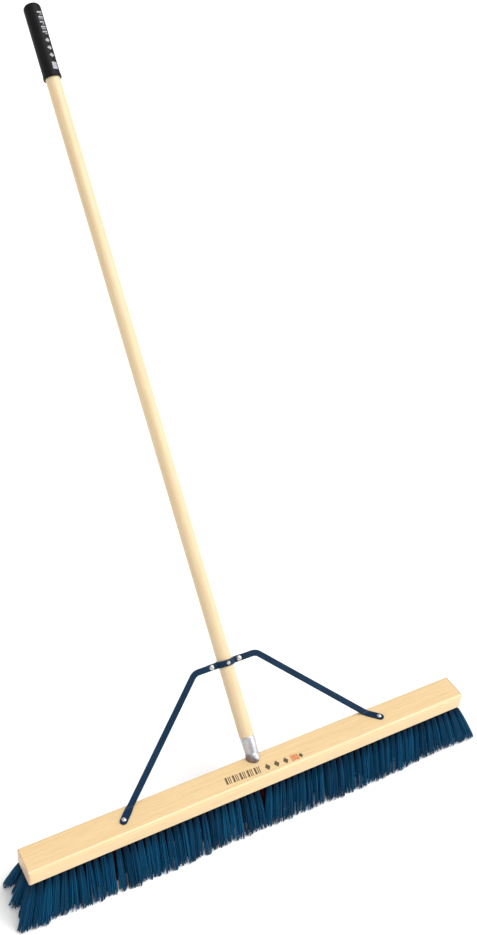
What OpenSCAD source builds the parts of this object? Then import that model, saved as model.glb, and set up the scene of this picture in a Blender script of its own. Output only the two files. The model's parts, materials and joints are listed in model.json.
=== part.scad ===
// Push broom: a hardwood block with five rows of bristle tufts, a long
// wooden handle that screws into the block at a slant, and a steel brace
// that ties the handle to both ends of the block.
// The origin is the centre of the trimmed bristle tips. X runs along the
// block, Y points to the side that the handle leans to, Z is up.

/* [Block] */
// Length of the wooden block
block_length = 914.4; // [700:0.1:1100]
// Width of the block, front to rear
block_width = 58; // [57:0.5:64]
// Thickness of the block
block_thickness = 32; // [31:0.5:40]
// Radius of the two long top edges
top_edge_radius = 7; // [3:0.5:10]
// Radius of the two long bottom edges
bottom_edge_radius = 2; // [1:0.5:3]
// Radius of the upright corners
corner_radius = 5; // [2:0.5:8]

/* [Bristles] */
// Free length of the bristles below the block
bristle_length = 90; // [70:1:110]
// Spacing of the tufts along a row
tuft_pitch = 14; // [13:0.5:18]
// Spacing of the rows
row_pitch = 11; // [10.5:0.5:11]
// Radius of a tuft at its root
tuft_root_radius = 2.6; // [2:0.1:2.6]
// Radius of a tuft at its trimmed tip
tuft_tip_radius = 5.2; // [3:0.1:5.4]
// How far the front and rear rows spread outward at their tips
row_spread = 27.5; // [10:0.5:32]
// How far the last tuft of a row spreads endways at its tip
end_spread = 33; // [0:0.5:36]
// How many tufts at each end of an inner row have the outer colour
border_tufts = 2; // [1:1:4]

/* [Handle] */
// Slant of the handle from upright
handle_lean = 44.5; // [40:0.5:50]
// Where the handle's axis meets the block's top, rearward of centre
handle_offset = 19.5; // [16:0.5:20]
// Length of the handle above the block, to the end of its grip
handle_reach = 1490; // [1100:5:1700]
// Diameter of the wooden pole
pole_diameter = 28.6; // [27:0.1:29]
// Diameter of the grip
grip_diameter = 34; // [32:0.5:40]
// Length of the grip
grip_length = 153; // [110:1:200]

/* [Brace] */
// Width of the brace's steel bar
bar_width = 12; // [10:0.5:14]
// Width of the brace's flattened feet
foot_width = 14; // [13:0.5:18]
// Thickness of the steel bar
bar_thickness = 3; // [2:0.5:4]
// Height of the clamp, measured along the handle from the block
clamp_height = 183; // [140:1:240]
// Half the width of the straight top of the brace
bow_half_width = 65; // [55:1:80]
// Half the distance between the bends at the brace's feet
foot_bend_x = 252; // [220:1:300]
// Distance of each foot's screw from the foot's bend, along the foot
foot_screw_distance = 27.5; // [18:0.5:30]
// Half the distance between the two clamp bolts
bolt_x = 28.8; // [27:0.2:34]

/* [Hidden] */
$fn = 48;

wood = "#f2d9a6";
pole_wood = "#f6e2b8";
enamel = "#16324a";
zinc = "#c4c4c6";
cast_zinc = "#b4b4b2";
rubber = "#1e1e20";
outer_fibre = "#163c58";
inner_fibre = "#4a1020";

// Heights
block_bottom = bristle_length;
block_top = block_bottom + block_thickness;

// Tuft layout: rows 0 to 4 run from front to rear
row_count = 5;
middle_row = 2;
block_edge_margin = 9;
last_column = floor((block_length / 2 - block_edge_margin) / tuft_pitch);
last_tuft_x = last_column * tuft_pitch;
spread_columns = 8;
end_spread_power = 1.4;
gap_lean = 8.5;
gap_lean_columns = 4;
tuft_flex_gap = 1.5;
tuft_hole_clearance = 0.2;
tuft_hole_depth = 9;
root_length = 7.4;
staple_length = 5;
staple_width = 0.6;
staple_height = 1.4;

// Ferrule, as distances along the handle's axis from the block's top
thread_radius = 9.5;
thread_root_radius = 8.4;
thread_pitch = 4.5;
thread_turns = 3;
thread_clearance = 0.1;
seat_start = -6.5;
seat_end = -3;
collar_radius = 13.4;
collar_end = 9;
waist_radius = 12.3;
sleeve_radius = 13.8;
sleeve_end = 41.5;
sleeve_rim = 4;
sleeve_wall = 1.3;
socket_start = 12;
seat_clearance = 0.3;
ferrule_end = seat_start - thread_turns * thread_pitch;
nail_height = 27;
nail_radius = 1.2;
nail_head_radius = 2.3;
nail_head_height = 0.7;
nail_hole_depth = 32;
nail_end = 1;

// Pole and grip
pole_radius = pole_diameter / 2;
slip_clearance = 0.1;
grip_radius = grip_diameter / 2;
grip_cap_thickness = 11;
grip_dome_height = 12;
grip_dome_step = 0.4;
grip_lip_height = 6;
grip_lip_width = 1.2;
grip_start = handle_reach - grip_length;
pole_end = handle_reach - grip_cap_thickness - slip_clearance;

// Brace
bar_gap = 0.5;
bend_radius = 20;
bend_steps = 10;
end_steps = 16;
foot_bend_overlap = 0.2;
saddle_inner_radius = pole_radius + slip_clearance;
saddle_outer_radius = saddle_inner_radius + bar_thickness;
strap_half_width = 37;
foot_end_distance = foot_screw_distance + 9;
// The foot's bend lies where the bow's inner face meets the block's top
foot_bend_y = handle_offset - bar_gap / cos(handle_lean);
foot_bend_height = -bar_gap * tan(handle_lean);
arm_angle = atan2(
    clamp_height - foot_bend_height, foot_bend_x - bow_half_width
);

// Fasteners
bolt_radius = 2.4;
bolt_hole_radius = 2.6;
bolt_head_radius = 5.5;
bolt_head_height = 3;
washer_radius = 5.5;
washer_thickness = 1;
nut_width = 8;
nut_height = 3.6;
bolt_tail = 2;
screw_radius = 1.9;
screw_hole_radius = 2;
screw_point = 4;
screw_head_height = 2.2;
handle_screw_head_radius = 3.8;
handle_screw_length = 20;
foot_screw_head_radius = 4.4;
foot_screw_length = 20;
recess_width = 0.9;
recess_depth = 1.1;

// ---- Positions and layout ----

// Puts its children on the handle's axis: Z runs up the handle, X stays
// along the block and -Y faces the front of the handle
module on_handle() {
    translate([0, handle_offset, block_top])
        rotate([-handle_lean, 0, 0])
            children();
}

function row_y(row) = (row - middle_row) * row_pitch;

// Inner rows next to the middle one are set half a pitch aside
function is_staggered(row) = row % 2 == 1;

function column_x(row) = is_staggered(row)
    ? [for (i = [-last_column : last_column - 1]) (i + 0.5) * tuft_pitch]
    : [for (i = [-last_column : last_column]) i * tuft_pitch];

function endways_share(x) =
    max(0, (abs(x) - last_tuft_x) / (spread_columns * tuft_pitch) + 1);

// The front row's tufts lean in to close the gap at its centre
function lean_to_gap(row, x) =
    row == 0 ? gap_lean * exp(-(abs(x) / tuft_pitch - 1) / gap_lean_columns) : 0;

// Where a tuft's tip lies, from the place of its root
function tip_x(row, x) = x + sign(x)
    * (end_spread * pow(endways_share(x), end_spread_power) - lean_to_gap(row, x));
function tip_y(row) =
    row_y(row) + row_spread * (row - middle_row) / middle_row;

function is_border(row, x) =
    abs(x) > last_tuft_x - (border_tufts - (is_staggered(row) ? 0 : 0.5)) * tuft_pitch;

// The front row has no tuft at its centre
function has_tuft(row, x) = row != 0 || x != 0;

function inner_columns(row) =
    [for (x = column_x(row)) if (!is_border(row, x)) x];
function border_columns(row) =
    [for (x = column_x(row)) if (is_border(row, x)) x];
function all_columns(row) =
    [for (x = column_x(row)) if (has_tuft(row, x)) x];

// ---- Block ----

module block_profile() {
    half = block_width / 2;
    for (side = [-1, 1]) {
        translate([side * (half - top_edge_radius), block_top - top_edge_radius])
            circle(r = top_edge_radius);
        translate([side * (half - bottom_edge_radius), block_bottom + bottom_edge_radius])
            circle(r = bottom_edge_radius);
    }
    translate([-half, block_bottom + bottom_edge_radius])
        square([block_width, block_thickness - top_edge_radius - bottom_edge_radius]);
    translate([-half + top_edge_radius, block_bottom])
        square([block_width - 2 * top_edge_radius, block_thickness]);
    translate([-half + bottom_edge_radius, block_bottom])
        square([block_width - 2 * bottom_edge_radius, block_thickness / 2]);
}

module block_outline() {
    x = block_length / 2 - corner_radius;
    y = block_width / 2 - corner_radius;
    for (sx = [-1, 1], sy = [-1, 1])
        translate([sx * x, sy * y])
            circle(r = corner_radius);
    square([block_length - 2 * corner_radius, block_width], center = true);
    square([block_length, block_width - 2 * corner_radius], center = true);
}

module handle_hole() {
    depth = -ferrule_end + 0.5;
    on_handle() {
        translate([0, 0, -depth])
            cylinder(h = depth, r = thread_radius + thread_clearance);
        translate([0, 0, seat_start])
            cylinder(
                h = seat_end - seat_start,
                r1 = thread_radius + seat_clearance,
                r2 = collar_radius + seat_clearance
            );
        translate([0, 0, seat_end])
            cylinder(h = block_width, r = collar_radius + seat_clearance);
    }
}

module tuft_holes() {
    for (row = [0 : row_count - 1], x = all_columns(row))
        translate([x, row_y(row), block_bottom - 1])
            cylinder(
                h = tuft_hole_depth + 1,
                r = tuft_root_radius + tuft_hole_clearance
            );
}

module foot_screw_holes() {
    for (side = [-1, 1])
        translate([side * foot_screw_x, foot_screw_y, block_top - foot_screw_length])
            cylinder(h = foot_screw_length + 1, r = screw_hole_radius);
}

module broom_block() {
    color(wood)
        difference() {
            intersection() {
                rotate([90, 0, 90])
                    linear_extrude(height = block_length + 2, center = true)
                        block_profile();
                linear_extrude(height = block_top + 10)
                    block_outline();
            }
            tuft_holes();
            handle_hole();
            foot_screw_holes();
        }
}

// ---- Bristles ----

// A cone of fibres from its root to beyond the trimming height
module tuft_cone(row, x) {
    dx = tip_x(row, x) - x;
    dy = tip_y(row) - row_y(row);
    reach = norm([dx, dy, bristle_length]);
    overrun = 1.05;
    growth = tuft_tip_radius - tuft_root_radius;
    translate([x, row_y(row), block_bottom])
        rotate([0, 180 - atan2(norm([dx, dy]), bristle_length), atan2(dy, dx)])
            cylinder(
                h = reach * overrun,
                r1 = tuft_root_radius,
                r2 = tuft_root_radius + growth * overrun
            );
}

// A row's tufts, cut off level at their tips and just below the block
module tufts(row, columns) {
    slab = [block_length + 200, block_width + 200, block_bottom - tuft_flex_gap];
    intersection() {
        translate([-slab.x / 2, -slab.y / 2, 0])
            cube(slab);
        for (x = columns)
            tuft_cone(row, x);
    }
}

module front_row_tufts() { color(outer_fibre) tufts(0, all_columns(0)); }
module second_row_tufts() { color(inner_fibre) tufts(1, inner_columns(1)); }
module second_row_end_tufts() { color(outer_fibre) tufts(1, border_columns(1)); }
module middle_row_tufts() { color(inner_fibre) tufts(2, inner_columns(2)); }
module middle_row_end_tufts() { color(outer_fibre) tufts(2, border_columns(2)); }
module fourth_row_tufts() { color(inner_fibre) tufts(3, inner_columns(3)); }
module fourth_row_end_tufts() { color(outer_fibre) tufts(3, border_columns(3)); }
module rear_row_tufts() { color(outer_fibre) tufts(4, all_columns(4)); }

// The folded ends of the fibres, held in the block's holes
module tuft_roots() {
    color(inner_fibre)
        for (row = [0 : row_count - 1], x = all_columns(row))
            translate([x, row_y(row), block_bottom])
                cylinder(h = root_length, r = tuft_root_radius);
}

// The wire staples over which the fibres are folded
module tuft_staples() {
    color(zinc)
        for (row = [0 : row_count - 1], x = all_columns(row))
            translate([
                x - staple_length / 2,
                row_y(row) - staple_width / 2,
                block_bottom + root_length
            ])
                cube([staple_length, staple_width, staple_height]);
}

// ---- Handle ----

module handle_pole() {
    color(pole_wood)
        difference() {
            on_handle()
                rotate_extrude()
                    polygon([
                        [0, socket_start],
                        [waist_radius - sleeve_wall - slip_clearance, socket_start],
                        [sleeve_radius - sleeve_wall - slip_clearance, sleeve_end + 0.2],
                        [pole_radius, sleeve_end + 0.2],
                        [pole_radius, pole_end],
                        [0, pole_end]
                    ]);
            nail_hole();
            on_handle()
                translate([0, 1 - pole_radius + handle_screw_length, clamp_height])
                    rotate([90, 0, 0])
                        cylinder(h = 2 * handle_screw_length, r = screw_hole_radius);
        }
}

function thread_outline() = [
    for (turn = [0 : thread_turns - 1], corner = [0 : 3])
        [
            corner == 0 || corner == 3 ? thread_root_radius : thread_radius,
            ferrule_end + (turn + [0, 0.3, 0.6, 0.9][corner]) * thread_pitch
        ]
];

module threaded_ferrule() {
    color(cast_zinc)
        difference() {
            on_handle()
                rotate_extrude()
                    polygon(concat(
                        [[0, ferrule_end]],
                        thread_outline(),
                        [
                            [thread_root_radius, seat_start],
                            [thread_radius, seat_start],
                            [collar_radius, seat_end],
                            [collar_radius, collar_end - 1],
                            [waist_radius, collar_end],
                            [waist_radius, socket_start],
                            [sleeve_radius, sleeve_end - sleeve_rim],
                            [sleeve_radius, sleeve_end],
                            [sleeve_radius - sleeve_wall, sleeve_end],
                            [waist_radius - sleeve_wall, socket_start - 0.2],
                            [0, socket_start - 0.2]
                        ]
                    ));
            nail_hole();
        }
}

module nail_hole() {
    on_handle()
        translate([0, 0, nail_height])
            rotate([90, 0, 0])
                cylinder(h = nail_hole_depth, r = nail_radius + slip_clearance);
}

function ferrule_radius(height) = waist_radius
    + (sleeve_radius - waist_radius)
    * (height - socket_start) / (sleeve_end - sleeve_rim - socket_start);

module ferrule_nail() {
    head_seat = ferrule_radius(nail_height + nail_head_radius);
    color(cast_zinc)
        on_handle()
            translate([0, -head_seat, nail_height])
                rotate([-90, 0, 0]) {
                    cylinder(h = head_seat - nail_end, r = nail_radius);
                    translate([0, 0, -nail_head_height])
                        cylinder(
                            h = nail_head_height,
                            r1 = nail_head_radius - nail_head_height,
                            r2 = nail_head_radius
                        );
                }
}

module handle_grip() {
    dome_base = grip_radius - grip_dome_step;
    cap_radius =
        (pow(dome_base, 2) + pow(grip_dome_height, 2)) / (2 * grip_dome_height);
    dome_start = handle_reach - grip_dome_height;
    color(rubber)
        on_handle()
            difference() {
                union() {
                    translate([0, 0, grip_start])
                        cylinder(h = dome_start - grip_start, r = grip_radius);
                    translate([0, 0, grip_start])
                        cylinder(h = grip_lip_height, r = grip_radius + grip_lip_width);
                    intersection() {
                        translate([0, 0, handle_reach - cap_radius])
                            sphere(r = cap_radius);
                        translate([-grip_radius, -grip_radius, dome_start - 1])
                            cube([grip_diameter, grip_diameter, grip_dome_height + 2]);
                    }
                }
                translate([0, 0, grip_start - 1])
                    cylinder(
                        h = grip_length - grip_cap_thickness + 1,
                        r = pole_radius + slip_clearance
                    );
            }
}

// ---- Brace ----

foot_direction = [cos(arm_angle), -sin(arm_angle)];
foot_screw_x = foot_bend_x + foot_screw_distance * foot_direction.x;
foot_screw_y = foot_bend_y + foot_screw_distance * foot_direction.y;
bend_trim = bend_radius * tan(arm_angle / 2);

// Points on a bend of the bow, at a radius from the bend's centre
function bend_arc(radius) = [
    for (step = [0 : bend_steps])
        let (turn = arm_angle * step / bend_steps)
            [bow_half_width - bend_trim, clamp_height - bend_radius]
            + radius * [sin(turn), cos(turn)]
];

// The end of one edge of an arm, beyond its foot's bend
function arm_end(side) =
    [foot_bend_x, foot_bend_height]
    + bar_width * foot_direction
    + side * bar_width / 2 * [sin(arm_angle), cos(arm_angle)];

function mirrored(points) =
    [for (i = [len(points) - 1 : -1 : 0]) [-points[i].x, points[i].y]];

// The flat shape of the bow, X along the block, Y up the handle
module bow_outline() {
    outer_edge = concat(bend_arc(bend_radius + bar_width / 2), [arm_end(1)]);
    inner_edge = concat(bend_arc(bend_radius - bar_width / 2), [arm_end(-1)]);
    polygon(concat(
        mirrored(outer_edge),
        outer_edge,
        [for (i = [len(inner_edge) - 1 : -1 : 0]) inner_edge[i]],
        [for (point = inner_edge) [-point.x, point.y]]
    ));
}

// The foot of one side, in the plane of the block's top
module foot_outline() {
    end_radius = foot_width / 2;
    translate([foot_bend_x, foot_bend_y])
        rotate(-arm_angle)
            polygon(concat(
                [[-bar_width, -end_radius]],
                [
                    for (step = [0 : end_steps])
                        let (turn = 180 * step / end_steps - 90)
                            [foot_end_distance - end_radius, 0]
                            + end_radius * [cos(turn), sin(turn)]
                ],
                [[-bar_width, end_radius]]
            ));
}

// The half round the front of the pole, not yet bored for the pole
module saddle_half() {
    intersection() {
        translate([0, 0, clamp_height - bar_width / 2])
            cylinder(h = bar_width, r = saddle_outer_radius);
        translate([-2 * pole_radius, -bar_gap - 2 * pole_radius, 0])
            cube([4 * pole_radius, 2 * pole_radius, 2 * clamp_height]);
    }
}

module saddle_bore() {
    translate([0, 0, clamp_height - bar_width])
        cylinder(h = 2 * bar_width, r = saddle_inner_radius);
}

module clamp_bolt_holes() {
    for (side = [-1, 1])
        translate([side * bolt_x, saddle_outer_radius, clamp_height])
            rotate([90, 0, 0])
                cylinder(h = 2 * saddle_outer_radius, r = bolt_hole_radius);
}

module bow_plate() {
    intersection() {
        on_handle()
            translate([0, -bar_gap, 0])
                rotate([90, 0, 0])
                    linear_extrude(height = bar_thickness)
                        bow_outline();
        translate([-block_length / 2, -block_width, block_top])
            cube([block_length, 2 * clamp_height, 2 * clamp_height]);
    }
}

module foot_plate() {
    reach = 2 * block_width;
    intersection() {
        translate([0, 0, block_top])
            linear_extrude(height = bar_thickness)
                foot_outline();
        translate([0, foot_bend_y - foot_bend_overlap - reach, 0])
            cube([block_length, reach, 2 * block_top]);
    }
}

module brace_bow() {
    color(enamel)
        difference() {
            union() {
                bow_plate();
                foot_plate();
                mirror([1, 0, 0])
                    foot_plate();
                on_handle()
                    saddle_half();
            }
            on_handle() {
                saddle_bore();
                clamp_bolt_holes();
                translate([0, 0, clamp_height])
                    rotate([90, 0, 0])
                        cylinder(h = 2 * pole_radius, r = screw_hole_radius);
            }
            for (side = [-1, 1])
                translate([side * foot_screw_x, foot_screw_y, block_top - 1])
                    cylinder(h = bar_thickness + 2, r = screw_hole_radius);
        }
}

module clamp_strap() {
    color(enamel)
        on_handle()
            difference() {
                union() {
                    rotate([0, 0, 180])
                        saddle_half();
                    translate([-strap_half_width, bar_gap, clamp_height - bar_width / 2])
                        cube([2 * strap_half_width, bar_thickness, bar_width]);
                }
                saddle_bore();
                clamp_bolt_holes();
            }
}

// ---- Fasteners ----

// A low round head, flat side down at Z = 0
module round_head(radius, height) {
    dome = (pow(radius, 2) + pow(height, 2)) / (2 * height);
    intersection() {
        translate([0, 0, height - dome])
            sphere(r = dome);
        cylinder(h = height + 1, r = radius);
    }
}

module cross_recess(height) {
    for (turn = [0, 90])
        rotate([0, 0, turn])
            translate([-2.2, -recess_width / 2, height - recess_depth])
                cube([4.4, recess_width, recess_depth + 1]);
}

module wood_screw(head_radius, length) {
    difference() {
        round_head(head_radius, screw_head_height);
        cross_recess(screw_head_height);
    }
    translate([0, 0, screw_point - length])
        cylinder(h = length - screw_point, r = screw_radius);
    translate([0, 0, -length])
        cylinder(h = screw_point, r1 = 0.3, r2 = screw_radius);
}

module at_clamp_bolts(depth) {
    on_handle()
        for (side = [-1, 1])
            translate([side * bolt_x, depth, clamp_height])
                rotate([90, 0, 0])
                    children();
}

module clamp_bolts() {
    shank = 2 * (bar_gap + bar_thickness) + washer_thickness + nut_height + bolt_tail;
    color(zinc)
        at_clamp_bolts(-bar_gap - bar_thickness) {
            round_head(bolt_head_radius, bolt_head_height);
            translate([0, 0, -shank])
                cylinder(h = shank, r = bolt_radius);
        }
}

module clamp_washers() {
    color(zinc)
        at_clamp_bolts(bar_gap + bar_thickness + washer_thickness)
            difference() {
                cylinder(h = washer_thickness, r = washer_radius);
                translate([0, 0, -1])
                    cylinder(h = washer_thickness + 2, r = bolt_hole_radius);
            }
}

module clamp_nuts() {
    color(zinc)
        at_clamp_bolts(bar_gap + bar_thickness + washer_thickness + nut_height)
            difference() {
                cylinder(h = nut_height, r = nut_width / 2 / cos(30), $fn = 6);
                translate([0, 0, -1])
                    cylinder(h = nut_height + 2, r = bolt_radius + slip_clearance / 2);
            }
}

module handle_screw() {
    color(zinc)
        on_handle()
            translate([0, -saddle_outer_radius, clamp_height])
                rotate([90, 0, 0])
                    wood_screw(handle_screw_head_radius, handle_screw_length);
}

module foot_screws() {
    color(zinc)
        for (side = [-1, 1])
            translate([side * foot_screw_x, foot_screw_y, block_top + bar_thickness])
                wood_screw(foot_screw_head_radius, foot_screw_length);
}

broom_block();
front_row_tufts();
second_row_tufts();
second_row_end_tufts();
middle_row_tufts();
middle_row_end_tufts();
fourth_row_tufts();
fourth_row_end_tufts();
rear_row_tufts();
tuft_roots();
tuft_staples();
handle_pole();
threaded_ferrule();
ferrule_nail();
handle_grip();
brace_bow();
clamp_strap();
clamp_bolts();
clamp_washers();
clamp_nuts();
handle_screw();
foot_screws();
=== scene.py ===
import math
import bpy
import numpy as np
from mathutils import Matrix, Vector
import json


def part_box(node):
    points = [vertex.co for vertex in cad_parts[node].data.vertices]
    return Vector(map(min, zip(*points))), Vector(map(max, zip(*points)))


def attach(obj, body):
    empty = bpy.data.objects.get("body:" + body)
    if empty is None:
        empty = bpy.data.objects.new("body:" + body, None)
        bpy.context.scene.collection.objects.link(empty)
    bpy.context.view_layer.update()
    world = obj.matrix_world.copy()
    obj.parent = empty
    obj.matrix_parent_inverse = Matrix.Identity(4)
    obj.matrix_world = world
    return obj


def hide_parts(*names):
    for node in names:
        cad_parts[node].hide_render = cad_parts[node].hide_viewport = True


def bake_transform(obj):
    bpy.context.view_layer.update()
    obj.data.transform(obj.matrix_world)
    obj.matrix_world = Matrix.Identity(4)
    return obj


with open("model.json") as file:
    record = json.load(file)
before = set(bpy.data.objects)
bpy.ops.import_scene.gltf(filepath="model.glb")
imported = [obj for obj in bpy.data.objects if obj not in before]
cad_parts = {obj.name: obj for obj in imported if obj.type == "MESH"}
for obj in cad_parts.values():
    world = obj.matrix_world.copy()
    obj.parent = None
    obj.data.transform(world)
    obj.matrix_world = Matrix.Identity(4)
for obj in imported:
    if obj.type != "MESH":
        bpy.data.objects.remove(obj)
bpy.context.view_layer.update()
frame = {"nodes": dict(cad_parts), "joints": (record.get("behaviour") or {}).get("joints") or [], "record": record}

MM = 0.001

# ---- Places that the frame gives -------------------------------------------------

BLOCK_LOW, BLOCK_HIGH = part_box("broom_block")
BLOCK_TOP = BLOCK_HIGH.z
BLOCK_BOTTOM = BLOCK_LOW.z
GRIP_MOUNT = next(m for m in frame["record"]["mounts"] if m["name"] == "grip")
X_AXIS = Vector((1, 0, 0))
HANDLE_UP = Vector(GRIP_MOUNT["axis"]).normalized()
HANDLE_FRONT = X_AXIS.cross(HANDLE_UP)
HANDLE_LEAN = math.acos(HANDLE_UP.z)
GRIP_PLACE = Vector(GRIP_MOUNT["pos_m"])
HANDLE_FOOT = GRIP_PLACE - HANDLE_UP * ((GRIP_PLACE.z - BLOCK_TOP) / HANDLE_UP.z)
GRIP_RADIUS = GRIP_MOUNT["dims"]["r_mm"] * MM


def height_on_handle(point):
    """How far up the handle's axis a point lies, from the block's top."""
    return (point - HANDLE_FOOT).dot(HANDLE_UP)


def on_handle(radius, angle, height):
    """A point round the handle's axis; angle 0 is the front and a quarter turn is +X."""
    outward = HANDLE_FRONT * math.cos(angle) + X_AXIS * math.sin(angle)
    return HANDLE_FOOT + HANDLE_UP * height + outward * radius


# ---- Mesh helpers ----------------------------------------------------------------

TURNED_SEGMENTS = 72
SMALLEST_RADIUS = 0.02 * MM


def make_piece(name, vertices, faces, material, body, sharp_deg=35):
    """A mesh that is shaded smooth but for its sharp edges, and rides on a rigid body."""
    mesh = bpy.data.meshes.new(name)
    mesh.from_pydata([tuple(v) for v in vertices], [], faces)
    mesh.polygons.foreach_set("use_smooth", [True] * len(mesh.polygons))
    mesh.set_sharp_from_angle(angle=math.radians(sharp_deg))
    mesh.materials.append(material)
    mesh.validate()
    piece = bpy.data.objects.new(name, mesh)
    bpy.context.collection.objects.link(piece)
    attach(piece, body)
    return piece


def loft_faces(ring_count, ring_size):
    """Quads between closed rings, and a cap at each end."""
    faces = []
    for i in range(ring_count - 1):
        for j in range(ring_size):
            k = (j + 1) % ring_size
            low, high = i * ring_size, (i + 1) * ring_size
            faces.append((low + j, low + k, high + k, high + j))
    last = (ring_count - 1) * ring_size
    faces.append(tuple(range(ring_size - 1, -1, -1)))
    faces.append(tuple(range(last, last + ring_size)))
    return faces


def turned_piece(name, profile, material, radius_change=None):
    """A piece turned about the handle's axis from (radius, height) points, open at neither end."""
    vertices = []
    for radius, height in profile:
        for j in range(TURNED_SEGMENTS):
            angle = 2 * math.pi * j / TURNED_SEGMENTS
            extra = radius_change(angle, height) if radius_change else 0
            vertices.append(on_handle(max(radius + extra, SMALLEST_RADIUS), angle, height))
    faces = loft_faces(len(profile), TURNED_SEGMENTS)
    return make_piece(name, vertices, faces, material, "broom")


# ---- Materials -------------------------------------------------------------------

class Shader:
    """A node material with its Principled shader and short ways to add nodes."""

    def __init__(self, name, roughness, metallic=0.0, **constants):
        self.material = bpy.data.materials.new(name)
        self.material.use_nodes = True
        self.tree = self.material.node_tree
        self.main = self.tree.nodes["Principled BSDF"]
        self.main.inputs["Roughness"].default_value = roughness
        self.main.inputs["Metallic"].default_value = metallic
        for key, value in constants.items():
            self.main.inputs[key.replace("_", " ")].default_value = value
        self.place = self.add("ShaderNodeTexCoord").outputs["Object"]

    def add(self, kind, **settings):
        node = self.tree.nodes.new(kind)
        for key, value in settings.items():
            setattr(node, key, value)
        return node

    def link(self, source, target):
        self.tree.links.new(source, target)

    def mapped(self, vector, scale=(1, 1, 1), rotation=(0, 0, 0), location=(0, 0, 0)):
        node = self.add("ShaderNodeMapping")
        node.inputs["Scale"].default_value = scale
        node.inputs["Rotation"].default_value = rotation
        node.inputs["Location"].default_value = location
        self.link(vector, node.inputs["Vector"])
        return node.outputs["Vector"]

    def noise(self, vector, scale, detail=4.0, roughness=0.55, distortion=0.0):
        node = self.add("ShaderNodeTexNoise")
        node.inputs["Scale"].default_value = scale
        node.inputs["Detail"].default_value = detail
        node.inputs["Roughness"].default_value = roughness
        node.inputs["Distortion"].default_value = distortion
        self.link(vector, node.inputs["Vector"])
        return node.outputs["Fac"]

    def ramp(self, value, *stops):
        node = self.add("ShaderNodeValToRGB")
        elements = node.color_ramp.elements
        while len(elements) < len(stops):
            elements.new(0.5)
        for element, (position, colour) in zip(elements, stops):
            element.position = position
            element.color = (*colour, 1)
        self.link(value, node.inputs["Fac"])
        return node.outputs["Color"]

    def mix(self, factor, first, second):
        node = self.add("ShaderNodeMix", data_type="RGBA")
        for key, value in (("Factor", factor), ("A", first), ("B", second)):
            socket = node.inputs[key]
            if isinstance(value, (int, float)):
                socket.default_value = value
            elif isinstance(value, tuple):
                socket.default_value = (*value, 1)
            else:
                self.link(value, socket)
        return node.outputs[2]

    def spread(self, value, low, high):
        node = self.add("ShaderNodeMapRange")
        node.inputs["To Min"].default_value = low
        node.inputs["To Max"].default_value = high
        self.link(value, node.inputs["Value"])
        return node.outputs["Result"]

    def colour(self, source):
        self.link(source, self.main.inputs["Base Color"])

    def rough(self, source, low, high):
        self.link(self.spread(source, low, high), self.main.inputs["Roughness"])

    def bump(self, height, strength, distance):
        node = self.add("ShaderNodeBump")
        node.inputs["Strength"].default_value = strength
        node.inputs["Distance"].default_value = distance
        self.link(height, node.inputs["Height"])
        self.link(node.outputs["Normal"], self.main.inputs["Normal"])


def srgb(red, green, blue):
    """A display colour, 0 to 255, as the linear colour that a shader takes."""
    def linear(value):
        value /= 255
        return value / 12.92 if value <= 0.04045 else ((value + 0.055) / 1.055) ** 2.4
    return (linear(red), linear(green), linear(blue))


def wood_material(name, turn, pale, middle, dark, varnish, varnish_roughness):
    """Varnished wood; turn takes the piece's long axis to X, and the grain runs along that."""
    s = Shader(name, roughness=0.42, Coat_Weight=varnish, Coat_Roughness=varnish_roughness, Coat_IOR=1.6)
    local = s.mapped(s.place, rotation=turn)
    broad = s.noise(s.mapped(local, scale=(1.2, 14, 14)), GRAIN_SCALE, detail=3, distortion=0.6)
    rings = s.noise(
        s.mapped(local, scale=(2.2, 90, 90)), GRAIN_SCALE, detail=5, roughness=0.6, distortion=0.3)
    pores = s.noise(s.mapped(local, scale=(9, 420, 420)), GRAIN_SCALE, detail=2, roughness=0.5)
    base = s.ramp(broad, (0.30, middle), (0.72, pale))
    lines = s.ramp(rings, (0.36, dark), (0.56, pale))
    tone = s.mix(0.2, base, lines)
    specks = s.ramp(pores, (0.34, dark), (0.46, pale))
    s.grain_colour = s.mix(0.26, tone, specks)
    s.colour(s.grain_colour)
    s.rough(rings, 0.36, 0.52)
    s.bump(pores, 0.10, 0.3 * MM)
    return s


def end_grain_and_painted_shade(s):
    """Growth rings, cut across, and the dark dots of the pores, in colours darkened as painted shade on the
    block's end faces.
    """
    rings = s.add("ShaderNodeTexWave", wave_type="RINGS", rings_direction="X")
    rings.inputs["Scale"].default_value = END_RING_SCALE
    rings.inputs["Distortion"].default_value = 2.5
    rings.inputs["Detail"].default_value = 3
    rings.inputs["Detail Scale"].default_value = 1.2
    s.link(s.mapped(s.place, location=END_RING_CENTRE), rings.inputs["Vector"])
    pores = s.noise(s.mapped(s.place, scale=(60, 1400, 1400)), 1.0, detail=2)
    bands = s.ramp(rings.outputs["Fac"], (0.2, END_GRAIN_DARK), (0.7, END_GRAIN_AND_SHADE))
    dots = s.ramp(pores, (0.36, END_GRAIN_PORES), (0.46, END_GRAIN_AND_SHADE))
    return s.mix(0.4, bands, dots)


def block_wood_material():
    """The block's wood; its end faces are darker, partly end grain that soaked up more stain and partly painted
    shade.
    """
    s = wood_material(
        "block_varnished_wood", (0, 0, 0), WOOD_PALE, WOOD_MIDDLE, WOOD_DARK,
        varnish=0.6, varnish_roughness=0.24)
    split = s.add("ShaderNodeSeparateXYZ")
    s.link(s.place, split.inputs["Vector"])
    out = s.add("ShaderNodeMath", operation="ABSOLUTE")
    s.link(split.outputs["X"], out.inputs[0])
    # Painted shade: the end faces take the darker end-grain colours
    end = s.add("ShaderNodeMapRange")
    end.inputs["From Min"].default_value = BLOCK_HIGH.x - END_GRAIN_START
    end.inputs["From Max"].default_value = BLOCK_HIGH.x - END_GRAIN_FULL
    s.link(out.outputs["Value"], end.inputs["Value"])
    s.colour(s.mix(end.outputs["Result"], s.grain_colour, end_grain_and_painted_shade(s)))
    return s.material


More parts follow.
